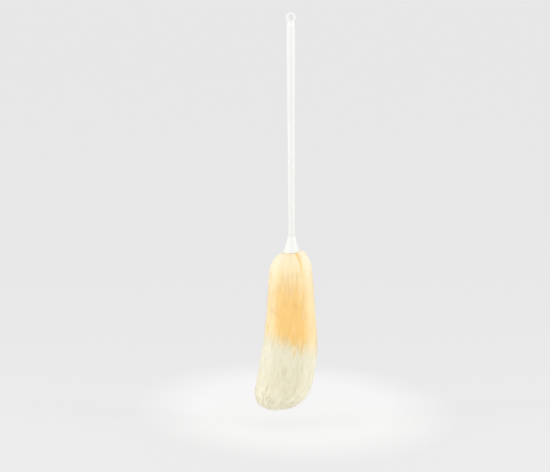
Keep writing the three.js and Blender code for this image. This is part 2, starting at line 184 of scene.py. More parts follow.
# painted light: the natural wool is drawn lighter toward the tip, as if lit by the floor below
TIP_PAINTED_LIGHT = 0.65
TIP_DYE = 0.07
TIP_DYE_RANGE = (0.62, 0.85)  # shares of the head's length
DYED_LOCK_SHADE = 0.05
NATURAL_LOCK_SHADE = 0.09
STRAND_SHADE = 0.1
# painted shade along the edges of each lock, which lie deeper
EDGE_SHADE = 0.08

# A parting in the wool beside the ferrule, where the deeper dye shows: the painted top light is left
# out along it, as painted shade
PARTING_ANGLE = math.radians(-76)
PARTING_TURN = math.radians(9)
PARTING_WIDTH = 2.2 * MM
PARTING_END = 48 * MM
# painted shade: how much of the painted top light is left out along the parting
PARTING_SHADE = 1
PARTING_SINK = 0.8 * MM

# Locks of wool
FIRST_TIP = 20 * MM
DYED_ROW_STEP = 17 * MM
NATURAL_ROW_STEP = 12 * MM
LOCK_STEP = 7.5 * MM
LEAST_LOCKS = 3  # in a row
ROW_SCATTER = 0.5
LOCK_SCATTER = 0.35
DYED_LENGTH = 85 * MM
NATURAL_LENGTH = 60 * MM
LENGTH_SPREAD = (0.85, 1.15)
LOCK_WIDTH = (10 * MM, 17 * MM)
DYED_THICKNESS = 0.9 * MM
NATURAL_THICKNESS = 1.3 * MM
LOCK_SWAY = 3 * MM
DYED_LIFT = 0.12 * MM
NATURAL_LIFT = 0.2 * MM
TIP_THINNING = 0.85
THINNING_BEND = 3
TIP_SINK = 0.45 * MM
TIP_SINK_START = 0.75
COLLAR_SINK = 0.5 * MM
ROOT_SINK = 5 * MM
ROOT_SINK_END = 30 * MM  # roots further down sink to the full depth
DYED_POINT = 0.35
NATURAL_POINT = 0.12
NARROWING = (0.4, 1.1)  # shares of a lock's length
NARROWEST = 12 * MM  # least radius that a lock is bent round

# Fleece, the faces of the locks as one body
FLEECE_ROWS = 230
FLEECE_SIDES = 400
FLEECE_SINK = 0.8 * MM  # where no lock lies
PIT_PASSES = 6
FLEECE_BORE = 7 * MM

# Strands that lie in the faces of the locks
STRANDS = 44
STRAND_POINTS = 7
STRAND_SIDES = 4
STRAND_TAPER = 4
STRAND_MERGE = 0.0001 * MM
STRAND_RADIUS = 0.26 * MM
STRAND_START = (0.3, 0.55)
STRAND_REACH = (0.78, 1)
STRAND_RISE = (-0.24 * MM, -0.1 * MM)
TIP_FLARE = 7 * MM
TIP_FLARE_BEND = 3
LOOSE_ENDS = 24  # the higher it is, the fewer strands stand off the tip
POLE_GAP = 0.5 * MM  # strands end this far from the lowest point
WAVE = 0.4 * MM
WAVES = 1.8
OUTWARD_SHARE = 0.7
OUTER_SIDE = (-0.4, 0.4)  # how far a face looks out of the head
MAP_CORNER = 0.004  # spread of a spot on the wool's map
PIECE_STRANDS = 4600  # at most

# Loose fibres that stand out of the fleece
STRAYS = 600
STRAY_RADIUS = 0.1 * MM
STRAY_PLACES = (0.06, 0.93)
STRAY_LENGTH = (14 * MM, 34 * MM)
STRAY_ARCH = (0.5 * MM, 2.2 * MM)
STRAY_SIDE = 7 * MM
STRAY_BEND = 2.2
STRAY_SHADE = 0.9
STRAY_DYE = 0.8

rng = np.random.default_rng(26)


# Materials

def linear(red, green, blue):
    """A colour written in the 0 to 255 values of a screen, as the shaders take it."""
    shares = []
    for value in (red, green, blue):
        share = value / 255
        shares.append(share / 12.92 if share <= 0.04045 else ((share + 0.055) / 1.055) ** 2.4)
    return (*shares, 1)


def grey(level):
    return linear(level, level, level)


def new_material(name):
    material = bpy.data.materials.new(name)
    material.use_nodes = True
    tree = material.node_tree
    return material, tree.nodes, tree.links, tree.nodes["Principled BSDF"]


def noise(nodes, links, scale, detail=3, stretch=(1, 1, 1)):
    """Noise on Object coordinates, stretched by dividing its scale along an axis."""
    place = nodes.new("ShaderNodeTexCoord")
    mapping = nodes.new("ShaderNodeMapping")
    mapping.inputs["Scale"].default_value = stretch
    texture = nodes.new("ShaderNodeTexNoise")
    texture.inputs["Scale"].default_value = scale
    texture.inputs["Detail"].default_value = detail
    links.new(place.outputs["Object"], mapping.inputs["Vector"])
    links.new(mapping.outputs["Vector"], texture.inputs["Vector"])
    return texture.outputs["Fac"]


def ramp(nodes, links, factor, stops):
    """A colour ramp with (position, colour) stops, fed by a factor."""
    node = nodes.new("ShaderNodeValToRGB")
    elements = node.color_ramp.elements
    elements[0].position, elements[0].color = stops[0]
    elements[1].position, elements[1].color = stops[-1]
    for position, colour in stops[1:-1]:
        elements.new(position).color = colour
    links.new(factor, node.inputs["Fac"])
    return node.outputs["Color"]


def two_tone(nodes, links, shader, pattern, deep, light):
    """Colours a shader between two tones by a pattern."""
    stops = list(zip(TONE_STOPS, (deep, light)))
    links.new(ramp(nodes, links, pattern, stops), shader.inputs["Base Color"])


def spread(nodes, links, factor, low, high):
    """A factor from 0 to 1 laid between two values."""
    node = nodes.new("ShaderNodeMapRange")
    node.inputs["To Min"].default_value = low
    node.inputs["To Max"].default_value = high
    links.new(factor, node.inputs["Value"])
    return node.outputs["Result"]


def bump(nodes, links, shader, height, distance, strength):
    node = nodes.new("ShaderNodeBump")
    node.inputs["Distance"].default_value = distance
    node.inputs["Strength"].default_value = strength
    links.new(height, node.inputs["Height"])
    links.new(node.outputs["Normal"], shader.inputs["Normal"])


def moulded_white(name, low, high, warmth):
    """White plastic with faint flow lines, between two levels of white that hold less blue."""
    material, nodes, links, shader = new_material(name)
    flow = noise(nodes, links, scale=60, stretch=(1, 1, 0.12))
    whites = [linear(level, level, level - warmth) for level in (low, high)]
    two_tone(nodes, links, shader, flow, *whites)
    wear = noise(nodes, links, scale=25)
    links.new(spread(nodes, links, wear, low=0.38, high=0.42), shader.inputs["Roughness"])
    shader.inputs["Specular IOR Level"].default_value = 0.8
    ripple = noise(nodes, links, scale=150, stretch=(1, 1, 0.3))
    bump(nodes, links, shader, ripple, distance=0.05 * MM, strength=0.1)
    return material


def turned_wood():
    material, nodes, links, shader = new_material("turned_wood")
    grain = noise(nodes, links, scale=300, detail=5, stretch=(1, 1, 0.05))
    two_tone(nodes, links, shader, grain, linear(184, 146, 98), linear(222, 190, 144))
    links.new(spread(nodes, links, grain, low=0.75, high=0.6), shader.inputs["Roughness"])
    bump(nodes, links, shader, grain, distance=0.1 * MM, strength=0.4)
    return material


def tanned_skin():
    material, nodes, links, shader = new_material("tanned_skin")
    mottle = noise(nodes, links, scale=180, detail=4)
    two_tone(nodes, links, shader, mottle, linear(218, 203, 176), linear(238, 228, 206))
    shader.inputs["Roughness"].default_value = 0.85
    pores = noise(nodes, links, scale=1500)
    bump(nodes, links, shader, pores, distance=0.1 * MM, strength=0.5)
    return material


def tack_steel():
    material, nodes, links, shader = new_material("tack_steel")
    brush = noise(nodes, links, scale=900, detail=2, stretch=(1, 1, 0.1))
    two_tone(nodes, links, shader, brush, linear(168, 170, 172), linear(196, 198, 200))
    links.new(spread(nodes, links, brush, low=0.28, high=0.42), shader.inputs["Roughness"])
    shader.inputs["Metallic"].default_value = 1
    return material


def wool():
    """Across the wool's map the dye deepens from natural to amber, and up it the shade lightens."""
    material, nodes, links, shader = new_material("wool")
    place = nodes.new("ShaderNodeUVMap")
    place.uv_map = "OFBake"
    split = nodes.new("ShaderNodeSeparateXYZ")
    links.new(place.outputs["UV"], split.inputs["Vector"])
    dye = ramp(nodes, links, split.outputs["X"], [
        (0, linear(*NATURAL_COLOUR)),
        (HALF_DYED, linear(*HALF_DYED_COLOUR)),
        (1, linear(*DYED_COLOUR)),
    ])
    shade = ramp(nodes, links, split.outputs["Y"], [
        (0, linear(*SHADE_COLOUR)),
        (1, grey(255)),
    ])
    mix = nodes.new("ShaderNodeMix")
    mix.data_type = "RGBA"
    mix.blend_type = "MULTIPLY"
    mix.inputs["Factor"].default_value = 1
    links.new(dye, mix.inputs["A"])
    links.new(shade, mix.inputs["B"])
    links.new(mix.outputs["Result"], shader.inputs["Base Color"])
    shader.inputs["Roughness"].default_value = 0.8
    shader.inputs["Specular IOR Level"].default_value = 0.25
    shader.inputs["Sheen Weight"].default_value = 0.3
    shader.inputs["Sheen Tint"].default_value = linear(*SHEEN_COLOUR)
    shader.inputs["Sheen Roughness"].default_value = 0.4
    return material


# Helpers for pieces

def piece_of(name, mesh, material, slot, *nodes):
    """Puts a mesh in the scene as a finished piece that stands for the named solids."""
    piece = bpy.data.objects.new(name, mesh)
    bpy.context.scene.collection.objects.link(piece)
    mesh.materials.clear()
    mesh.materials.append(material)
    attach(piece, "root")
    if nodes:
        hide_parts(*nodes)


def mesh_of(bm, name):
    mesh = bpy.data.meshes.new(name)
    bm.to_mesh(mesh)
    bm.free()
    mesh.shade_smooth()
    return mesh


def evaluated_mesh(holder):
    """The mesh of an object with its modifiers applied. The object itself is removed."""
    graph = bpy.context.evaluated_depsgraph_get()
    mesh = bpy.data.meshes.new_from_object(holder.evaluated_get(graph))
    bpy.data.objects.remove(holder)
    return mesh


def turn(bm, profile, closes, sides=TURNED_SIDES):
    """Turns a profile of (radius, height) pairs about Z into a closed body."""
    corners = [bm.verts.new((radius, 0, height)) for radius, height in profile]
    edges = [bm.edges.new(pair) for pair in zip(corners, corners[1:])]
    if closes:
        edges.append(bm.edges.new((corners[-1], corners[0])))
    bmesh.ops.spin(
        bm, geom=corners + edges, cent=(0, 0, 0), axis=(0, 0, 1),
        angle=2 * math.pi, steps=sides, use_merge=True,
    )
    bmesh.ops.remove_doubles(bm, verts=bm.verts, dist=MERGE_DISTANCE)
    bmesh.ops.recalc_face_normals(bm, faces=bm.faces)


def round_edges(bm, size):
    sharp = [edge for edge in bm.edges if edge.calc_face_angle(0) > EDGE_ANGLE]
    bmesh.ops.bevel(
        bm, geom=sharp, offset=size, affect="EDGES", segments=EDGE_STEPS, profile=0.5, material=-1,
    )


def even_mesh(bm, name):
    """A mesh whose normals follow its large faces, so that rounded edges don't shade them."""
    holder = bpy.data.objects.new(name, mesh_of(bm, name))
    bpy.context.scene.collection.objects.link(holder)
    holder.modifiers.new("even", "WEIGHTED_NORMAL")
    return evaluated_mesh(holder)


# White mouldings

def eye_ring(bm):
    """A rounded oval ring about Y, spun as a round one and then drawn to its oval."""
    inner = EYE_HOLE_WIDTH / 2
    outer = inner + EYE_SIDE_WALL
    half = EYE_THICKNESS / 2
    section = [(inner, -half), (outer, -half), (outer, half), (inner, half)]
    corners = [bm.verts.new((radius, y, 0)) for radius, y in section]
    edges = [bm.edges.new((corner, corners[place - 1])) for place, corner in enumerate(corners)]
    bmesh.ops.spin(
        bm, geom=corners + edges, cent=(0, 0, 0), axis=(0, 1, 0),
        angle=2 * math.pi, steps=TURNED_SIDES, use_merge=True,
    )
    bmesh.ops.recalc_face_normals(bm, faces=bm.faces)
    round_edges(bm, EYE_EDGE)
    rim_stretch = EYE_TOP / outer
    for vert in bm.verts:
        hole_stretch = (EYE_HOLE_TOP if vert.co.z > 0 else EYE_HOLE_FOOT) / inner
        across = (math.hypot(vert.co.x, vert.co.z) - inner) / EYE_SIDE_WALL
        vert.co.z *= hole_stretch + (rim_stretch - hole_stretch) * across


def cap_profile():
    """From the axis at the plug's end, up its barbs and the cap, and back to the axis."""
    joint = TUBE_TOP - CAP_SEAT
    root = PLUG_RADIUS - BARB_HEIGHT
    pitch = (joint - PLUG_END) / (BARBS + 1)
    profile = [(0, PLUG_END), (root, PLUG_END)]
    for barb in range(BARBS):
        foot = PLUG_END + (barb + 0.5) * pitch
        crest = foot + pitch / 2
        profile += [(root, foot), (PLUG_RADIUS, crest), (root, crest + BARB_HEIGHT)]
    profile += [(root, joint), (GRIP_RADIUS, joint)]
    for step in range(CAP_SHOULDER_STEPS + 1):
        angle = step / CAP_SHOULDER_STEPS * math.pi / 2
        profile.append((
            CAP_SHOULDER_RADIUS - CAP_SHOULDER_ROUND * (1 - math.cos(angle)),
            CAP_TOP - CAP_SHOULDER_ROUND * (1 - math.sin(angle)),
        ))
    return profile + [(0, CAP_TOP)]


def eye_cap(material):
    """Ring and cap fused into one moulding, with soft fillets where they meet."""
    bm = bmesh.new()
    turn(bm, cap_profile(), False)
    ring = bmesh.new()
    eye_ring(ring)
    ring_mesh = mesh_of(ring, "eye_ring")
    bm.from_mesh(ring_mesh)
    bpy.data.meshes.remove(ring_mesh)
    blank = bpy.data.objects.new("eye_cap_blank", mesh_of(bm, "eye_cap_blank"))
    bpy.context.scene.collection.objects.link(blank)
    fuse = blank.modifiers.new("fuse", "REMESH")
    fuse.mode = "VOXEL"
    fuse.voxel_size = MOULDING_VOXEL
    fuse.use_smooth_shade = True
    polish = blank.modifiers.new("polish", "SMOOTH")
    polish.iterations = MOULDING_SMOOTHING
    mesh = evaluated_mesh(blank)
    piece_of("eye_cap_moulding", mesh, material, "white_plastic", "hanging_eye_cap")


def tube_radius(height):
    """Outside of the tapering handle at a height."""
    fall = (TUBE_TOP - GRIP_LENGTH - height) / (TUBE_TOP - GRIP_LENGTH - TUBE_END)
    return GRIP_RADIUS + (TAIL_RADIUS - GRIP_RADIUS) * min(max(fall, 0), 1)


def handle_tube(material):
    grip_end = TUBE_TOP - GRIP_LENGTH
    outside = [(TAIL_RADIUS, TUBE_END), (GRIP_RADIUS, grip_end), (GRIP_RADIUS, TUBE_TOP)]
    inside = [(radius - TUBE_WALL, height) for radius, height in reversed(outside)]
    bm = bmesh.new()
    turn(bm, outside + inside, True)
    round_edges(bm, TUBE_EDGE_ROUND)
    mesh = even_mesh(bm, "handle_tube_moulding")
    piece_of("handle_tube_moulding", mesh, material, "white_plastic", "handle_tube")


def swoop(start, end):
    """Points of the ferrule's flare between two corners."""
    corners = [start]
    for along, up in FLARE:
        corners.append((start[0] + (end[0] - start[0]) * along, start[1] + (end[1] - start[1]) * up))
    corners.append(end)
    flat = [Vector((radius, height, 0)) for radius, height in corners]
    return [(point.x, point.y) for point in interpolate_bezier(*flat, FLARE_POINTS)]


def ferrule(material):
    mouth = tube_radius(FERRULE_RIM) + FIT_GAP
    throat_height = FERRULE_RIM - SOCKET_LENGTH
    throat = tube_radius(throat_height) + FIT_GAP
    lip = FERRULE_BASE + FERRULE_LIP
    bore = FERRULE_RADIUS - FERRULE_WALL
    outside = swoop((mouth + FERRULE_RIM_WALL, FERRULE_RIM), (FERRULE_RADIUS, lip))
    inside = swoop((throat, throat_height), (bore, lip))
    profile = [(bore, FERRULE_BASE), (FERRULE_RADIUS, FERRULE_BASE)]
    profile += outside[::-1] + [(mouth, FERRULE_RIM)] + inside
    bm = bmesh.new()
    turn(bm, profile, True)
    round_edges(bm, EDGE_ROUND)
    mesh = even_mesh(bm, "ferrule_moulding")
    piece_of("ferrule_moulding", mesh, material, "white_plastic", "ferrule")


# Wool head

def smooth_step(low, high, value):
    share = np.clip((value - low) / (high - low), 0, 1)
    return share * share * (3 - 2 * share)


def head_radius(depth):
    """Half width of the head at a depth below the ferrule."""
    share = np.clip(depth / HEAD_LENGTH, 0, 1)
    widen = np.minimum((share - SHOULDER_END) / (WIDEST_AT - SHOULDER_END), 1)
    side = (HEAD_TOP_WIDTH + (HEAD_WIDTH - HEAD_TOP_WIDTH) * widen) / 2
    rise = 1 - np.minimum(share / SHOULDER_END, 1)
    fall = np.maximum(0, (share - TIP_START) / (1 - TIP_START))
    shoulder = COLLAR_RADIUS + (side - COLLAR_RADIUS) * np.sqrt(1 - rise * rise)
    return shoulder * np.sqrt(1 - fall ** TIP_FULLNESS)


def head_lean(depth):
    """How far the middle of the head hangs to one side at a depth."""
    share = np.clip((depth / HEAD_LENGTH - LEAN_START) / (1 - LEAN_START), 0, 1)
    shift = HEAD_SHIFT * smooth_step(0, SHOULDER_END, depth / HEAD_LENGTH)
    return -shift - HEAD_LEAN * share ** LEAN_BEND


# The head's outline as a path: distance along it, half width, depth and the way out of it
PATH_DEPTH = HEAD_LENGTH * (1 - np.cos(np.linspace(0, math.pi, PATH_POINTS))) / 2
PATH_RADIUS = head_radius(PATH_DEPTH)
PATH_LENGTH = np.concatenate([[0], np.cumsum(np.hypot(np.diff(PATH_RADIUS), np.diff(PATH_DEPTH)))])
PATH_OUT = np.gradient(PATH_DEPTH, PATH_LENGTH)
PATH_UP = np.gradient(PATH_RADIUS, PATH_LENGTH)
PATH_END = PATH_LENGTH[-1]


def along_path(distance):
    """Half width, depth, and the outward and upward shares of the way out at a distance."""
    columns = (PATH_RADIUS, PATH_DEPTH, PATH_OUT, PATH_UP)
    return [np.interp(distance, PATH_LENGTH, column) for column in columns]


def puff(radius, angle):
    """How far the wool swells up beside the ferrule, most on one side."""
    facing = np.maximum(0, np.cos(angle - PUFF_ANGLE))
    clear = smooth_step(COLLAR_RADIUS, PUFF_START, radius)
    swell = clear * (1 - smooth_step(PUFF_START, PUFF_END, radius))
    return (PUFF + SIDE_PUFF * facing ** 2) * swell - COLLAR_DEPTH * (1 - clear)


def place_on_head(distance, angle, off):
    """A point at a height over the outline, and the way out there."""
    radius, depth, way_out, way_up = along_path(distance)
    reach = radius + way_out * off
    swell = puff(reach, angle) * (depth < HEAD_LENGTH / 2)
    x = head_lean(depth) + reach * np.cos(angle)
    y = reach * np.sin(angle)
    z = FERRULE_BASE - depth + way_up * off + swell
    outward = (way_out * np.cos(angle), way_out * np.sin(angle), way_up + 0 * angle)
    return np.stack([x, y, z], axis=-1), np.stack(outward, axis=-1)


def angle_between(angle, other):
    """How far one angle lies past another, within half a turn."""
    return np.mod(angle - other + math.pi, 2 * math.pi) - math.pi


def parting(depth, angle):
    """1 along the line of the parting, falling to 0 beside and below it."""
    line = PARTING_ANGLE + PARTING_TURN * depth / PARTING_END
    beside = angle_between(angle, line) * head_radius(depth) / PARTING_WIDTH
    return np.exp(-beside * beside) * (1 - smooth_step(0, PARTING_END, depth))


def side_light(angle):
    """Painted side light: 0 on the front and back of the head, where colour and shade are drawn
    deepest, and 1 on the sides halfway between them.
    """
    between = (1 - np.cos(UNLIGHTENED_SIDES * (angle - FRONT_ANGLE))) / 2
    return smooth_step(*SIDE_LIGHT_RANGE, between)


def dye_under_painted_light(depth, angle, twist=0):
    """How deep the dye is drawn: paler under the ferrule as painted light from above, apart from the
    parting, paler on the sides as painted side light, and full in the middle.
    """
    paler = (1 - TOP_LIT_DYE) * (1 - smooth_step(0, TOP_LIGHT_END, depth))
    full = 1 - DYE_SIDE_LIGHT * side_light(angle + twist)
    return full * (1 - paler * (1 - PARTING_SHADE * parting(depth, angle)))


def dyed_share(depth, angle):
    """1 above the slanting splice between the strips and 0 below it."""
    splice = SPLICE_DEPTH + SPLICE_SLANT * np.cos(angle)
    return 1 - smooth_step(-SPLICE_BLUR, SPLICE_BLUR, depth - splice)


def blend(natural, dyed_value, natural_value):
    return dyed_value + (natural_value - dyed_value) * natural


def make_locks():
    """Every lock's place, size, lean, dye and shade, in rows down the head."""
    places = []
    distance = FIRST_TIP
    while distance < PATH_END:
        radius, depth, _, _ = along_path(distance)
        step = NATURAL_ROW_STEP if depth > SPLICE_DEPTH else DYED_ROW_STEP
        count = max(LEAST_LOCKS, round(2 * math.pi * radius / LOCK_STEP))
        for index in range(count):
            angle = (index + rng.uniform(-LOCK_SCATTER, LOCK_SCATTER)) / count * 2 * math.pi
            places.append((distance + rng.uniform(-ROW_SCATTER, ROW_SCATTER) * step, angle))
        distance += step
    end, angle = np.array(places).T
    end = np.minimum(end, PATH_END)
    count = len(end)
    depth = along_path(end)[1]
    scatter = rng.normal(0, SPLICE_SCATTER, count)
    natural = 1 - dyed_share(depth + scatter, angle)
    loose = blend(natural, DYED_LIFT, NATURAL_LIFT)
    length = rng.uniform(*LENGTH_SPREAD, count) * blend(natural, DYED_LENGTH, NATURAL_LENGTH)
    start = np.maximum(end - length, 0)
    deeper = (ROOT_SINK - COLLAR_SINK) * (end - start) / length
    return {
        "end": end,
        "angle": angle,
        "start": start,
        "natural": natural,
        "scatter": scatter,
        "width": rng.uniform(*LOCK_WIDTH, count),
        "thickness": blend(natural, DYED_THICKNESS, NATURAL_THICKNESS),
        "point": blend(natural, DYED_POINT, NATURAL_POINT),
        "sink": COLLAR_SINK + deeper * smooth_step(0, ROOT_SINK_END, start),
        "sway": rng.normal(0, LOCK_SWAY, count),
        "lift": rng.normal(0, loose),
        "dye": rng.normal(0, LOCK_DYE, count),
        "shade": rng.normal(0, blend(natural, DYED_LOCK_SHADE, NATURAL_LOCK_SHADE)),
        "twist": rng.normal(0, SIDE_LIGHT_SCATTER, count),
    }


def half_width(lock, along):
    """Half width of a lock at a share of its length. It runs out to a point."""
    return lock["width"] / 2 * (1 - (1 - lock["point"]) * smooth_step(*NARROWING, along))


def face_height(lock, along, across):
    """Height of a lock's rounded face over the outline, at a share of its length and half width."""
    crown = 1 - across * across
    fullness = lock["thickness"] * (1 - TIP_THINNING * along ** THINNING_BEND)
    sunk = lock["sink"] * (1 - along) + TIP_SINK * smooth_step(TIP_SINK_START, 1, along)
    return lock["lift"] - sunk + fullness * crown


def colour_place(lock, depth, angle, across):
    """Dye and shade of a lock's face, with painted light on the head's top, sides and tip. Its edges,
    which lie deeper, are deeper in both: deeper dye that is partly painted shade, and painted shade.
    """
    edge = across * across
    strip = dyed_share(depth + lock["scatter"], angle)
    dye = dye_under_painted_light(depth, angle, lock["twist"]) * strip * (1 + EDGE_DYE_AND_SHADE * edge + lock["dye"])
    dye = dye + TIP_DYE * smooth_step(*TIP_DYE_RANGE, depth / HEAD_LENGTH)
    tip = smooth_step(TIP_START, 1, depth / HEAD_LENGTH)
    # The natural wool's shade, drawn lighter as painted light on the sides and toward the tip
    natural_shade = NATURAL_SHADE + NATURAL_SIDE_LIGHT * side_light(angle) + TIP_PAINTED_LIGHT * tip
    bright = dyed_share(depth + lock["scatter"] + SHADE_REACH, angle)
    shade = blend(1 - bright, DYED_SHADE, natural_shade) + lock["shade"] - EDGE_SHADE * edge
    return dye, shade


def fill_pits(height):
    """Raises the pits between locks to the mean height of the fleece around them."""
    mean = height
    for _ in range(PIT_PASSES):
        mean = (mean + np.roll(mean, 1, axis=1) + np.roll(mean, -1, axis=1)) / 3
        ends = np.pad(mean, ((1, 1), (0, 0)), mode="edge")
        mean = (ends[:-2] + mean + ends[2:]) / 3
    return np.maximum(height, mean)


def stamp(locks, distance, angle):
    """Height, dye and shade of the fleece over distances and angles. The highest lock shows."""
    radius, depth, _, _ = (column[:, None] for column in along_path(distance))
    grid = (len(distance), len(angle))
    height = np.full(grid, -FLEECE_SINK)
    strip = dyed_share(depth, angle)
    dye = dye_under_painted_light(depth, angle) * strip
    shade = blend(1 - strip, DYED_SHADE, NATURAL_SHADE)
    for values in zip(*locks.values()):
        lock = dict(zip(locks, values))
        rows = np.flatnonzero((distance >= lock["start"]) & (distance <= lock["end"]))
        along = (distance[rows, None] - lock["start"]) / (lock["end"] - lock["start"])
        round_at = np.maximum(radius[rows], NARROWEST)
        middle = lock["angle"] + lock["sway"] * along * along / round_at
        across = angle_between(angle, middle) * round_at / half_width(lock, along)
        face = np.where(np.abs(across) < 1, face_height(lock, along, across), -np.inf)
        shows = face > height[rows]
        lock_dye, lock_shade = colour_place(lock, depth[rows], angle, across)
        height[rows] = np.where(shows, face, height[rows])
        dye[rows] = np.where(shows, lock_dye, dye[rows])
        shade[rows] = np.where(shows, lock_shade, shade[rows])
    return fill_pits(height) - PARTING_SINK * parting(depth, angle), dye, shade


def map_of(dye, shade):
    """Places on the wool's map, kept inside it."""
    places = np.stack(np.broadcast_arrays(dye, shade), axis=-1)
    return np.clip(places, 2 * MAP_CORNER, 1 - 2 * MAP_CORNER)


def fleece(material, locks):
    """The wool as one body with the faces of its locks, round the core and closed below its end."""
    distance = np.linspace(0, PATH_END, FLEECE_ROWS)
    angle = np.arange(FLEECE_SIDES) / FLEECE_SIDES * 2 * math.pi
    height, dye, shade = stamp(locks, distance, angle)
    spots, _ = place_on_head(distance[:, None], angle[None, :], height)
    spots[-1] = spots[-1].mean(axis=0)
    places = map_of(dye, shade)

    radius, depth, _, _ = along_path(distance)
    outline = np.stack([radius, FERRULE_BASE - depth], axis=-1)
    pocket = CORE_END - FIT_GAP
    collar = FERRULE_BASE - COLLAR_DEPTH
    bm = bmesh.new()
    bore = [(0, pocket), (FLEECE_BORE, pocket), (FLEECE_BORE, collar)]
    turn(bm, [*bore, *outline], False, FLEECE_SIDES)
    mesh = mesh_of(bm, "fleece")

    corners = np.zeros(len(mesh.vertices) * 3, dtype=np.float32)
    mesh.vertices.foreach_get("co", corners)
    corners = corners.reshape(-1, 3)
    reach = np.hypot(corners[:, 0], corners[:, 1])
    outer = (reach > FLEECE_BORE + FIT_GAP) | (corners[:, 2] < pocket - FIT_GAP)
    pairs = np.stack([reach, corners[:, 2]], axis=-1)
    row = np.array([np.abs(outline - pair).sum(axis=1).argmin() for pair in pairs])
    column = np.round(np.arctan2(corners[:, 1], corners[:, 0]) / angle[1]).astype(int) % FLEECE_SIDES
    corners[outer] = spots[row[outer], column[outer]]
    mesh.vertices.foreach_set("co", corners.ravel())
    lay_map(mesh, places[row, column] + rng.uniform(-MAP_CORNER, MAP_CORNER, (len(corners), 2)))
    piece_of(
        "fleece", mesh, material, "natural_wool",
        "dyed_wool_pile", "natural_wool_pile", "tip_wool_tuft",
    )


def comb(locks):
    """Points, ways out and map places of every strand, each lying in the face of its lock."""
    lock = {name: values.reshape(-1, 1, 1) for name, values in locks.items()}
    length = lock["end"] - lock["start"]
    shape = (len(length), STRANDS, 1)
    across = rng.uniform(-1, 1, shape)
    first = rng.uniform(*STRAND_START, shape) * (lock["start"] > 0)
    longest = (PATH_END - POLE_GAP - lock["start"]) / length
    reach = np.minimum(rng.uniform(*STRAND_REACH, shape), longest)
    rise = rng.uniform(*STRAND_RISE, shape)
    phase = rng.uniform(0, 2 * math.pi, shape)
    strand_dye = rng.normal(0, STRAND_DYE, shape) * (1 - lock["natural"])
    strand_shade = rng.normal(0, STRAND_SHADE, shape)
    strand_scatter = rng.normal(0, STRAND_SCATTER, shape)
    loose = TIP_FLARE * rng.uniform(0, 1, shape) ** LOOSE_ENDS

    step = np.linspace(0, 1, STRAND_POINTS)
    along = first + (reach - first) * step
    distance = lock["start"] + length * along
    radius, depth, _, _ = along_path(distance)
    wave = WAVE * np.sin(2 * math.pi * WAVES * step + phase)
    aside = across * half_width(lock, along) + lock["sway"] * along * along + wave
    angle = lock["angle"] + aside / np.maximum(radius, NARROWEST)
    flare = loose * smooth_step(TIP_START, 1, depth / HEAD_LENGTH) * step ** TIP_FLARE_BEND
    off = face_height(lock, along, across) + rise + flare - PARTING_SINK * parting(depth, angle)
    points, outward = place_on_head(distance, angle, off)
    dye, shade = colour_place(lock, depth + strand_scatter, angle, across)
    return points, outward, map_of(dye + strand_dye, shade + strand_shade)


def stray():
    """Points, ways out and map places of loose fibres that arch out of the fleece."""
    shape = (STRAYS, 1)
    start = rng.uniform(*STRAY_PLACES, shape) * PATH_END
    length = rng.uniform(*STRAY_LENGTH, shape)
    arch = rng.uniform(*STRAY_ARCH, shape)
    side = rng.normal(0, STRAY_SIDE, shape)
    angle = rng.uniform(0, 2 * math.pi, shape)
    step = np.linspace(0, 1, STRAND_POINTS)
    distance = np.minimum(start + length * step, PATH_END - POLE_GAP * (2 - step))
    radius, depth, _, _ = along_path(distance)
    angle = angle + side * step * step / np.maximum(radius, NARROWEST)
    points, outward = place_on_head(distance, angle, arch * np.sin(STRAY_BEND * step) - STRAND_RADIUS)
    dye = STRAY_DYE * dye_under_painted_light(depth, angle) * dyed_share(depth, angle)
    return points, outward, map_of(dye, STRAY_SHADE)


def lay_map(mesh, places):
    """Gives a mesh the wool's map, with a place for each of its vertices."""
    loops = np.zeros(len(mesh.loops), dtype=np.int32)
    mesh.loops.foreach_get("vertex_index", loops)
    wool_map = mesh.uv_layers.new(name="OFBake")
    wool_map.uv.foreach_set("vector", places[loops].ravel())


def soften(mesh):
    """Turns the outer side of each strand to face as the head does, so that it blends in."""
    count = len(mesh.vertices)
    own = np.zeros(count * 3, dtype=np.float32)
    outward = np.zeros(count * 3, dtype=np.float32)
    mesh.vertex_normals.foreach_get("vector", own)
    mesh.attributes["way_out"].data.foreach_get("vector", outward)
    mesh.attributes.remove(mesh.attributes["way_out"])
    own = own.reshape(count, 3)
    outward = outward.reshape(count, 3)
    facing = (own * outward).sum(axis=1, keepdims=True)
    soft = own + (outward - own) * OUTWARD_SHARE * smooth_step(*OUTER_SIDE, facing)
    mesh.normals_split_custom_set_from_vertices(soft / np.linalg.norm(soft, axis=1, keepdims=True))


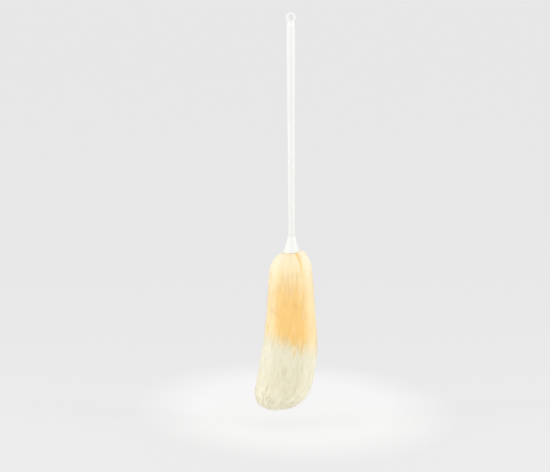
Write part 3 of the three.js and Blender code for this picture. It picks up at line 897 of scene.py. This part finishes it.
def strand_mesh(name, thickness, points, outward, places):
    """Tapered strands swept along their points, each a closed spindle with its place on the map."""
    curve = bpy.data.curves.new(name, "CURVE")
    curve.dimensions = "3D"
    curve.twist_mode = "MINIMUM"
    curve.bevel_depth = thickness
    curve.bevel_resolution = 0
    taper = 1 - (2 * np.linspace(0, 1, STRAND_POINTS) - 1) ** STRAND_TAPER
    rows = np.ones((len(points), STRAND_POINTS, 4))
    rows[:, :, :3] = points
    for row in rows:
        spline = curve.splines.new("POLY")
        spline.points.add(STRAND_POINTS - 1)
        spline.points.foreach_set("co", row.ravel())
        spline.points.foreach_set("radius", taper)
    holder = bpy.data.objects.new(name, curve)
    bpy.context.scene.collection.objects.link(holder)
    mesh = evaluated_mesh(holder)

    corner_angle = np.arange(STRAND_SIDES) / STRAND_SIDES * 2 * math.pi
    corner = MAP_CORNER * np.stack([np.cos(corner_angle), np.sin(corner_angle)], axis=-1)
    lay_map(mesh, (places[:, :, None, :] + corner).reshape(-1, 2))
    way_out = mesh.attributes.new("way_out", "FLOAT_VECTOR", "POINT")
    ways = np.repeat(outward.reshape(-1, 3), STRAND_SIDES, axis=0)
    way_out.data.foreach_set("vector", ways.ravel())

    bm = bmesh.new()
    bm.from_mesh(mesh)
    bmesh.ops.remove_doubles(bm, verts=bm.verts, dist=STRAND_MERGE)
    bm.to_mesh(mesh)
    bm.free()
    mesh.shade_smooth()
    soften(mesh)
    return mesh


def wool_head(material):
    locks = make_locks()
    fleece(material, locks)
    strands = [column.reshape(-1, STRAND_POINTS, column.shape[-1]) for column in comb(locks)]
    count = len(strands[0])
    groups = np.array_split(np.arange(count), math.ceil(count / PIECE_STRANDS))
    for number, group in enumerate(groups, 1):
        name = f"wool_locks_{number}"
        points, outward, places = (column[group] for column in strands)
        mesh = strand_mesh(name, STRAND_RADIUS, points, outward, places)
        dyed = places[:, :, 0].mean() > HALF_DYED
        piece_of(name, mesh, material, "dyed_wool" if dyed else "natural_wool")
    mesh = strand_mesh("stray_fibres", STRAY_RADIUS, *stray())
    piece_of("stray_fibres", mesh, material, "natural_wool")


# Stage

PHOTO_WIDTH = 550
PHOTO_HEIGHT = 472
EYE_COLUMN = 290.7
EYE_ROW = 17.3
PIXEL_SIZE = 1.6385 * MM
CAMERA_DISTANCE = 5
CAMERA_AZIMUTH = math.radians(-12)
CAMERA_ELEVATION = math.radians(8.1)
CAMERA_ROLL = math.radians(-0.29)
SENSOR_WIDTH = 36
FLOOR_SIZE = 40
FLOOR_GAP = 24 * MM
FLOOR_GLOW = 0.62  # share of the floor that shows its set grey and painted pool of light, and not its shadow
FLOOR_WHITE = 250
FLOOR_GREY = 222
# A painted pool of light: the floor's grey brightens inside an ellipse under the duster
POOL_GREY = 241
POOL_EDGE = 0.4
POOL_MIDDLE = (0.03, 0.125)
POOL_SIZE = (0.275, 0.45)
POOL_TURN = math.radians(-4)
WORLD_LIGHT = 0.96
BACKDROP_GREY = 233
PANEL_AZIMUTHS = {"left_panel": math.radians(-82), "right_panel": math.radians(58)}
PANEL_ELEVATION = math.radians(10)
PANEL_DISTANCE = 1.6
PANEL_SIZE = (0.3, 1.4)
PANEL_POWER = 4.6


def camera():
    """A long lens that sees the middle of the eye's hole at its place in the photograph."""
    data = bpy.data.cameras.new("camera")
    data.sensor_width = SENSOR_WIDTH
    data.lens = SENSOR_WIDTH * CAMERA_DISTANCE / (PHOTO_WIDTH * PIXEL_SIZE)
    made = bpy.data.objects.new("camera", data)
    turned = Euler((math.pi / 2 - CAMERA_ELEVATION, 0, CAMERA_AZIMUTH)).to_matrix()
    turned = turned @ Euler((0, 0, CAMERA_ROLL)).to_matrix()
    right = (EYE_COLUMN - PHOTO_WIDTH / 2) * PIXEL_SIZE
    up = (PHOTO_HEIGHT / 2 - EYE_ROW) * PIXEL_SIZE
    made.location = -(turned @ Vector((right, up, -CAMERA_DISTANCE)))
    made.rotation_euler = turned.to_euler()
    bpy.context.scene.collection.objects.link(made)
    bpy.context.scene.camera = made


def lamp(name, azimuth):
    """A soft panel that faces the middle of the duster."""
    data = bpy.data.lights.new(name, "AREA")
    data.shape = "RECTANGLE"
    data.size, data.size_y = PANEL_SIZE
    data.energy = PANEL_POWER
    made = bpy.data.objects.new(name, data)
    level = math.cos(PANEL_ELEVATION)
    rise = math.sin(PANEL_ELEVATION)
    back = Vector((math.sin(azimuth) * level, -math.cos(azimuth) * level, rise))
    made.location = Vector((0, 0, (EYE_TOP + CORE_END) / 2)) + back * PANEL_DISTANCE
    made.rotation_euler = back.to_track_quat("Z", "Y").to_euler()
    made.visible_camera = False
    bpy.context.scene.collection.objects.link(made)


def seen_rays(nodes, links):
    """1 for rays that show the background: straight, in a gloss or through a clear piece."""
    light_path = nodes.new("ShaderNodeLightPath")
    seen = light_path.outputs["Is Camera Ray"]
    for kind in ("Is Glossy Ray", "Is Transmission Ray"):
        either = nodes.new("ShaderNodeMath")
        either.operation = "MAXIMUM"
        links.new(seen, either.inputs[0])
        links.new(light_path.outputs[kind], either.inputs[1])
        seen = either.outputs["Value"]
    return seen


def floor():
    bm = bmesh.new()
    bmesh.ops.create_grid(bm, x_segments=1, y_segments=1, size=FLOOR_SIZE / 2)
    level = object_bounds()[0].z - FLOOR_GAP
    bmesh.ops.translate(bm, verts=bm.verts, vec=(0, 0, level))
    made = bpy.data.objects.new("floor", mesh_of(bm, "floor"))
    bpy.context.scene.collection.objects.link(made)
    material, nodes, links, shader = new_material("pale_floor")
    place = nodes.new("ShaderNodeTexCoord")
    mapping = nodes.new("ShaderNodeMapping")
    mapping.vector_type = "TEXTURE"
    mapping.inputs["Location"].default_value = (*POOL_MIDDLE, level)
    mapping.inputs["Rotation"].default_value = (0, 0, POOL_TURN)
    mapping.inputs["Scale"].default_value = (*POOL_SIZE, 1)
    # Painted pool of light: an ellipse of lighter grey under the duster
    pool = nodes.new("ShaderNodeTexGradient")
    pool.gradient_type = "SPHERICAL"
    links.new(place.outputs["Object"], mapping.inputs["Vector"])
    links.new(mapping.outputs["Vector"], pool.inputs["Vector"])
    colour = ramp(nodes, links, pool.outputs["Fac"], [
        (0, grey(FLOOR_GREY)),
        (POOL_EDGE, grey(POOL_GREY)),
    ])
    shader.inputs["Base Color"].default_value = grey(FLOOR_WHITE)
    shader.inputs["Roughness"].default_value = 0.9
    glow = nodes.new("ShaderNodeEmission")
    links.new(colour, glow.inputs["Color"])
    share = nodes.new("ShaderNodeMath")
    share.operation = "MULTIPLY"
    share.inputs[1].default_value = FLOOR_GLOW
    links.new(seen_rays(nodes, links), share.inputs[0])
    mix = nodes.new("ShaderNodeMixShader")
    links.new(share.outputs["Value"], mix.inputs["Fac"])
    links.new(shader.outputs["BSDF"], mix.inputs[1])
    links.new(glow.outputs["Emission"], mix.inputs[2])
    links.new(mix.outputs["Shader"], nodes["Material Output"].inputs["Surface"])
    made.data.materials.append(material)
    made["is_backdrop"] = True


def sky():
    world = bpy.data.worlds.new("studio")
    bpy.context.scene.world = world
    world.use_nodes = True
    nodes = world.node_tree.nodes
    links = world.node_tree.links
    light = nodes["Background"]
    light.inputs["Color"].default_value = (1, 1, 1, 1)
    light.inputs["Strength"].default_value = WORLD_LIGHT
    seen = nodes.new("ShaderNodeBackground")
    seen.inputs["Color"].default_value = grey(BACKDROP_GREY)
    mix = nodes.new("ShaderNodeMixShader")
    links.new(seen_rays(nodes, links), mix.inputs["Fac"])
    links.new(light.outputs["Background"], mix.inputs[1])
    links.new(seen.outputs["Background"], mix.inputs[2])
    links.new(mix.outputs["Shader"], nodes["World Output"].inputs["Surface"])


def finish_solids():
    """Materials of the inner solids, which stay as they are."""
    finishes = {
        turned_wood(): ["core_dowel"],
        tanned_skin(): ["dyed_hide_strip", "natural_hide_strip", "tip_hide_disc"],
        tack_steel(): [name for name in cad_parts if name.endswith("_pin") or "_tack" in name],
    }
    for material, names in finishes.items():
        for name in names:
            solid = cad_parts[name].data
            solid.materials.clear()
            solid.materials.append(material)


eye_cap(moulded_white("cap_white", *CAP_WHITE))
handle_tube(moulded_white("handle_white", *HANDLE_WHITE))
ferrule(moulded_white("ferrule_white", *FERRULE_WHITE))
wool_head(wool())
finish_solids()

camera()
floor()
sky()
for panel, panel_azimuth in PANEL_AZIMUTHS.items():
    lamp(panel, panel_azimuth)
bpy.context.scene.view_settings.view_transform = "Standard"
